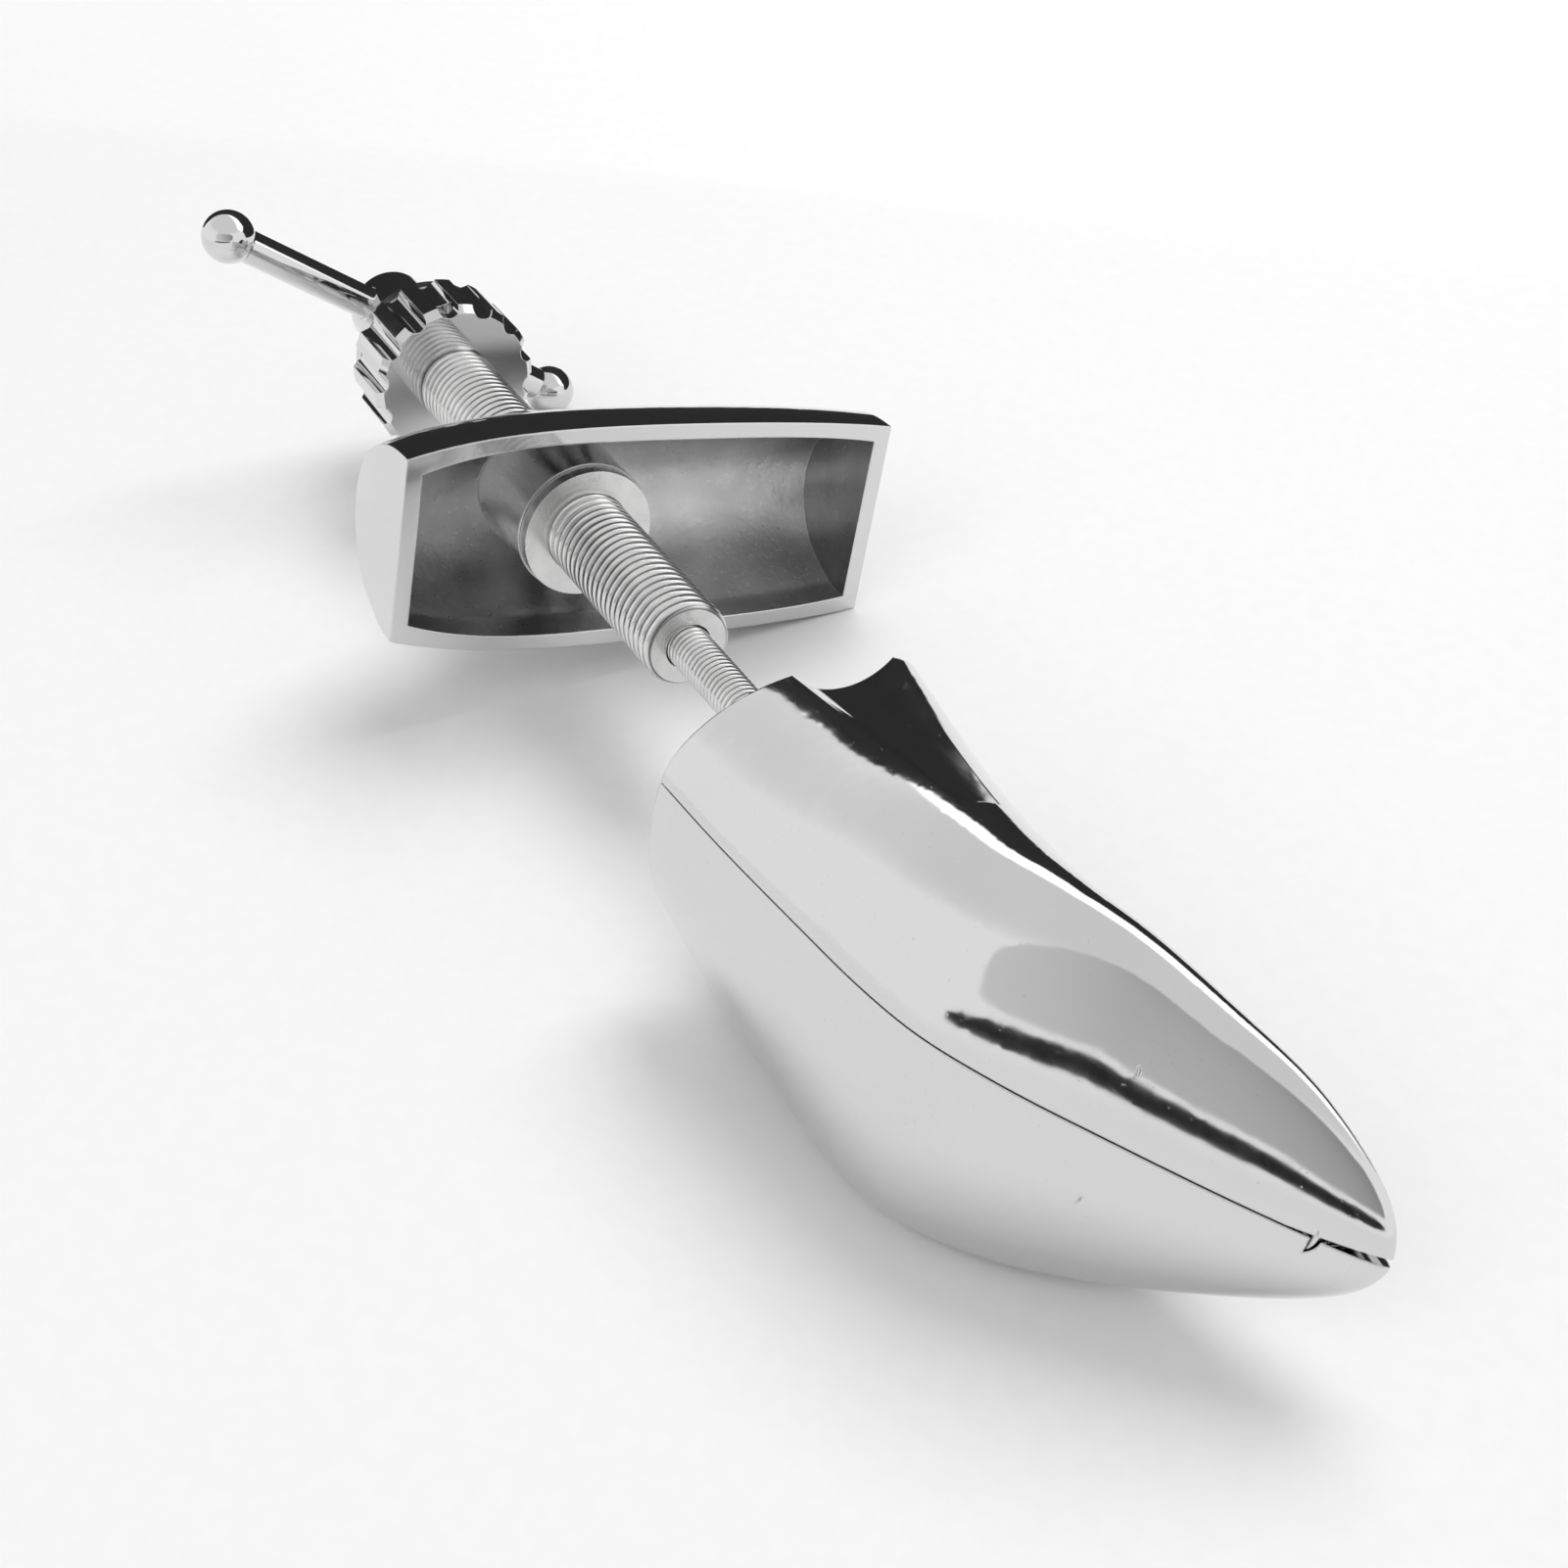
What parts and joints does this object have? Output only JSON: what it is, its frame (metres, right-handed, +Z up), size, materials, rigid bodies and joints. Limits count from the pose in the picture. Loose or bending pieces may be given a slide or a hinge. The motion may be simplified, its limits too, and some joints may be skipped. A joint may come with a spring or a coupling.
{
  "type": "shoe stretcher",
  "caption": "Two-way shoe stretcher: a split toe that opens on a hinge, a hollow heel on a threaded sleeve, a hand wheel for length and a bar handle for width.",
  "frame": {"origin": "on the table, under the middle of the whole object's box", "axes": "+X along the spindle towards the toe's tip, +Y towards the sole and the heel's flat base, +Z up; the stretcher lies on its side"},
  "size_m": [0.3168, 0.1034, 0.0614],
  "materials": {
    "chrome_casting": "polished and chrome plated",
    "thread_steel": "bright zinc plated thread",
    "turned_steel": "turned",
    "bright_steel": "bright zinc plated",
    "chrome_turned": "polished",
    "black_ring": "matt"
  },
  "bodies": {
    "toe_base": {"toe_lower_half": "chrome_casting", "hinge_pin": "bright_steel", "bearing_block": "turned_steel", "thrust_bush": "turned_steel", "bush_spacer": "black_ring", "bush_lock_nut": "turned_steel", "bearing_screws": "bright_steel", "bearing_washers": "bright_steel", "lower_spring_anchor": "bright_steel", "closing_spring": "bright_steel"},
    "toe_upper": {"toe_upper_half": "chrome_casting", "upper_spring_anchor": "bright_steel"},
    "spindle": {"spindle_rod": "thread_steel", "front_thrust_washer": "turned_steel", "front_collar": "turned_steel", "rear_collar": "turned_steel", "handle_hub": "chrome_turned", "handle_bar": "chrome_turned", "bar_balls": "chrome_turned", "front_collar_pin": "bright_steel", "rear_collar_pin": "bright_steel", "hub_pin": "bright_steel"},
    "wedge_slide": {"wedge": "thread_steel"},
    "sleeve": {"length_sleeve": "thread_steel", "length_wheel": "chrome_turned", "wheel_grub_screw": "bright_steel", "wheel_cap": "turned_steel", "wheel_cap_screws": "bright_steel", "rear_washers": "turned_steel"},
    "heel_carrier": {"heel_nut": "thread_steel"},
    "heel": {"heel_shell": "chrome_casting"}
  },
  "joints": [
    {"name": "spindle_turn", "type": "hinge", "parent": "toe_base", "child": "spindle", "pos_m": [0.0404, -0.01097, 0.0307], "axis": [-1, 0, 0], "range_deg": [0, 6336]},
    {"name": "wedge_run", "type": "slide", "parent": "toe_base", "child": "wedge_slide", "axis": [1, 0, 0], "range_m": [0, 0.022]},
    {"name": "upper_open", "type": "hinge", "parent": "toe_base", "child": "toe_upper", "pos_m": [0.1489, 0.00808, 0.02376], "axis": [0, 0.9397, -0.342], "range_deg": [0, 5.6], "deforming": ["closing_spring"]},
    {"name": "sleeve_turn", "type": "hinge", "parent": "spindle", "child": "sleeve", "pos_m": [0.0404, -0.01097, 0.0307], "axis": [-1, 0, 0], "range_deg": [-4680, 7200]},
    {"name": "heel_travel", "type": "slide", "parent": "toe_base", "child": "heel_carrier", "axis": [1, 0, 0], "range_m": [-0.026, 0.04]},
    {"name": "heel_swivel", "type": "hinge", "parent": "heel_carrier", "child": "heel", "pos_m": [0.0404, -0.01097, 0.0307], "axis": [1, 0, 0], "continuous": true}
  ],
  "couplings": [
    {"joint": "wedge_run", "follows": "spindle_turn", "m_per_rad": 0.00019894},
    {"joint": "upper_open", "follows": "spindle_turn", "ratio": 0.00088384},
    {"joint": "heel_travel", "follows": "sleeve_turn", "m_per_rad": 0.00031831}
  ]
}
